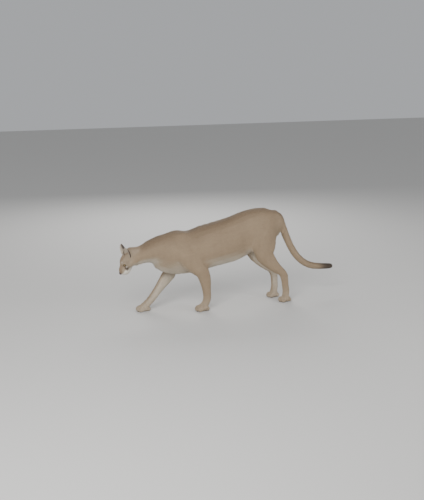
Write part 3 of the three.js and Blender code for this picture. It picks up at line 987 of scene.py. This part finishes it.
def lathe(name, profile, middle, axis, side_way):
    """Turns a profile of (along, out) pairs about an axis; both ends lie on it."""
    up = np.cross(axis, side_way)
    points = []
    for along, out in profile:
        for k in range(EYE_SIDES):
            turn = 2 * math.pi * k / EYE_SIDES
            ring = out * (math.cos(turn) * side_way + math.sin(turn) * up)
            points.append(middle + along * axis + ring)
    points = np.array(points)
    return object_from(name, points, outward(points, tube_faces(len(profile), EYE_SIDES)))


def eye_colours(thing, middle, axis, side_way):
    """A streaked iris, amber round the pupil and olive outside."""
    points, _ = arrays_of(thing.data)
    away = points - middle
    along = away @ axis
    flat = away - along[:, None] * axis
    out = np.linalg.norm(flat, axis=1)
    turn = np.arctan2(flat @ np.cross(axis, side_way), flat @ side_way)
    streak = 0.5 + 0.25 * np.sin(turn * 23 + 3 * np.sin(turn * 5)) + 0.2 * np.sin(turn * 41)
    iris = AMBER + (OLIVE - AMBER) * smoothstep(0.0050, 0.0095, out)[:, None]
    iris = iris * (0.62 + 0.5 * streak)[:, None]
    front = along > 0.4 * EYEBALL
    colour = np.tile(np.array(EYE_WHITE), (len(points), 1))
    colour = paint(colour, iris, (1 - smoothstep(*IRIS_EDGE, out)) * front)
    colour = paint(colour, PUPIL, (1 - smoothstep(*PUPIL_EDGE, out)) * front)
    colour_attribute(thing, colour)


def make_eye(name, side, finish):
    """A glossy ball with a low dome in front, its iris and pupil in its colours."""
    ball = middle_of(f"eye_{name}")
    gaze = unit(way_from_head(eye_turn(side)[:, 0]))
    side_way = unit(np.cross(gaze, CROWN_WAY))
    profile = []
    for k in range(EYE_RINGS + 1):
        angle = math.pi * (1 - k / EYE_RINGS)
        reach = EYEBALL + CORNEA_RISE * smoothstep(CORNEA_REACH, 0, angle)
        profile.append((reach * math.cos(angle), reach * math.sin(angle)))
    eye = lathe(f"eyeball_{name}", profile, ball, gaze, side_way)
    eye_colours(eye, ball, gaze, side_way)
    eye.data.materials.append(finish)
    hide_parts(f"eye_{name}")
    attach(eye, "root")


# Nose
NOSE_GRAIN = 0.0006


def make_nose(finish):
    """The nose leather in a fine grain, with its edges rounded."""
    nose = place_in_scene("nose_pad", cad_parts["nose"].data.copy())
    nose.data.materials.clear()
    add_remesh(nose, NOSE_GRAIN)
    even = nose.modifiers.new("even", "SMOOTH")
    even.factor = 0.5
    even.iterations = 8
    with_modifiers(nose)
    shade(nose.data)
    nose.data.materials.append(finish)
    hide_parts("nose")
    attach(nose, "root")


# Whiskers
WHISKER_SIDES = 5
WHISKER_STEPS = 9
WHISKER_TAPER = 0.85
WHISKER_ROWS = 4
WHISKERS_PER_ROW = 5
BROW_HAIRS = 3


def whisker(root, way, droop, length, thick):
    """A tapering hair that curves down from its root."""
    side_way = unit(np.cross(way, np.array([0.0, 0.0, 1.0])))
    up = np.cross(side_way, way)
    points = []
    for k in range(WHISKER_STEPS + 1):
        share = k / WHISKER_STEPS
        middle = root + way * length * share + np.array([0, 0, -1]) * droop * share**2
        radius = thick * (1 - WHISKER_TAPER * share)
        for s in range(WHISKER_SIDES):
            turn = 2 * math.pi * s / WHISKER_SIDES
            points.append(middle + radius * (math.cos(turn) * side_way + math.sin(turn) * up))
    return points, tube_faces(WHISKER_STEPS + 1, WHISKER_SIDES)


def muzzle_hairs(side):
    """Root, way, droop, length and thickness of the whiskers, longer towards the back."""
    hairs = []
    for row in range(WHISKER_ROWS):
        for k in range(WHISKERS_PER_ROW):
            core = np.array([0.122 - 0.008 * k - 0.002 * row, 0, -0.010 - 0.0055 * row])
            out = unit(np.array([0.25, side, -0.12 + 0.06 * (1 - row)]))
            root = cast(core, out) - out * 0.002
            way = unit(np.array([-0.25 - 0.13 * k, side, -0.16 * row + 0.1]))
            hairs.append((root, way, 0.006 + 0.002 * k, 0.030 + 0.009 * k, 0.00032))
    return hairs


def brow_hairs(side):
    hairs = []
    for k in range(BROW_HAIRS):
        root = eye_middle(side) + np.array([-0.004 + 0.006 * k, -side * 0.002, 0.017])
        way = unit(np.array([0.1 - 0.3 * k, side * 0.5, 0.8]))
        hairs.append((root, way, 0.006, 0.034, 0.00026))
    return hairs


def make_whiskers(finish):
    points, faces = [], []
    for side in SIDES.values():
        for root, way, droop, length, thick in muzzle_hairs(side) + brow_hairs(side):
            start = from_head(root[None])[0]
            hair, hair_faces = whisker(start, way_from_head(way), droop, length, thick)
            faces.extend(tuple(i + len(points) for i in face) for face in hair_faces)
            points.extend(hair)
    hairs = object_from("whiskers", np.array(points), faces)
    hairs.data.materials.append(finish)
    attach(hairs, "root")


# Studio
FLOOR_REACH = 14


def make_floor():
    r = FLOOR_REACH
    corners = [(-r, -r, 0), (r, -r, 0), (r, r, 0), (-r, r, 0)]
    floor = object_from("floor", corners, [(0, 1, 2, 3)], smooth=False)
    floor.data.materials.append(material("floor", (0.62, 0.61, 0.59), 0.9, specular=0.1))


def soft_light(name, where, target, power, size):
    lamp = bpy.data.lights.new(name, "AREA")
    lamp.energy = power
    lamp.size = size
    thing = place_in_scene(name, lamp)
    thing.location = where
    thing.rotation_euler = (Vector(target) - Vector(where)).to_track_quat("-Z", "Y").to_euler()


def light_studio():
    world = bpy.data.worlds.new("studio")
    bpy.context.scene.world = world
    world.use_nodes = True
    sky = world.node_tree.nodes["Background"]
    sky.inputs["Color"].default_value = (0.80, 0.82, 0.85, 1)
    sky.inputs["Strength"].default_value = 0.55
    soft_light("key", (-2.6, -3.4, 3.0), (-0.1, 0, 0.4), 190, 2.4)
    soft_light("fill", (2.8, -3.0, 1.6), (0.1, 0, 0.4), 55, 2.6)
    soft_light("back", (0.6, 3.4, 2.6), (0, 0, 0.5), 90, 2.4)


VIEW_AZIMUTH = math.radians(-20)
VIEW_ELEVATION = math.radians(14)
VIEW_DISTANCE = 6.0
VIEW_TARGET = (-0.152, 0.0, 0.436)
VIEW_LENS = 58.4


def place_camera():
    lens = bpy.data.cameras.new("camera")
    lens.lens = VIEW_LENS
    lens.clip_end = 60
    camera = place_in_scene("camera", lens)
    level = math.cos(VIEW_ELEVATION)
    back = Vector(
        (
            math.sin(VIEW_AZIMUTH) * level,
            -math.cos(VIEW_AZIMUTH) * level,
            math.sin(VIEW_ELEVATION),
        )
    )
    camera.location = Vector(VIEW_TARGET) + back * VIEW_DISTANCE
    camera.rotation_euler = back.to_track_quat("Z", "Y").to_euler()
    bpy.context.scene.camera = camera


# The whole animal
FLESH = [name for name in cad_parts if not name.startswith(("eye_", "nose"))]
EAR_CROP = 0.6  # how much shorter the hair is on the ears
FLANK_FALL = 0.28  # how far the hair of the flanks turns down


def finish_skin(skin, coat, corner_map):
    colour_attribute(skin, coat)
    add_bake_map(skin, corner_map)
    skin.data.materials.clear()
    skin.data.materials.append(skin_material())
    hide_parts(*FLESH)
    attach(skin, "root")


def make_coat(points, triangles, normals, shares, lie, hair, coat, corner_map):
    hair = hair * (1 - EAR_CROP * ear_share(points))
    steep = shares[TRUNK] * (1 - np.abs(normals[:, 2]))
    lie = unit(lie - np.array([0, 0, FLANK_FALL]) * steep[:, None])
    tufts = grow_tufts(points, triangles, normals, lie, hair, coat, corner_map)
    finish = fur_material()
    for number, start in enumerate(range(0, len(tufts[0]), TUFTS_PER_PIECE), 1):
        block = slice(start, start + TUFTS_PER_PIECE)
        fur_piece(f"fur_{number}", *(part[block] for part in tufts), finish)


def make_body():
    skin = joined_solids()
    thin_body(skin)
    refine_face(skin)
    points, triangles = shape_skin(skin)
    normals = normals_of(points, triangles)
    shares, lie, hair, _, stations = read_lines(points)
    coat = coat_colour(points, normals, shares, stations)
    corner_map = skin_map(points, triangles)
    finish_skin(skin, coat, corner_map)
    make_coat(points, triangles, normals, shares, lie, hair, coat, corner_map)


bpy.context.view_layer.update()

make_body()
eye_finish = eye_material()
for name, side in SIDES.items():
    make_eye(name, side, eye_finish)
make_nose(leather_material())
make_whiskers(material("whisker", (0.80, 0.77, 0.70), 0.4))

make_floor()
light_studio()
place_camera()
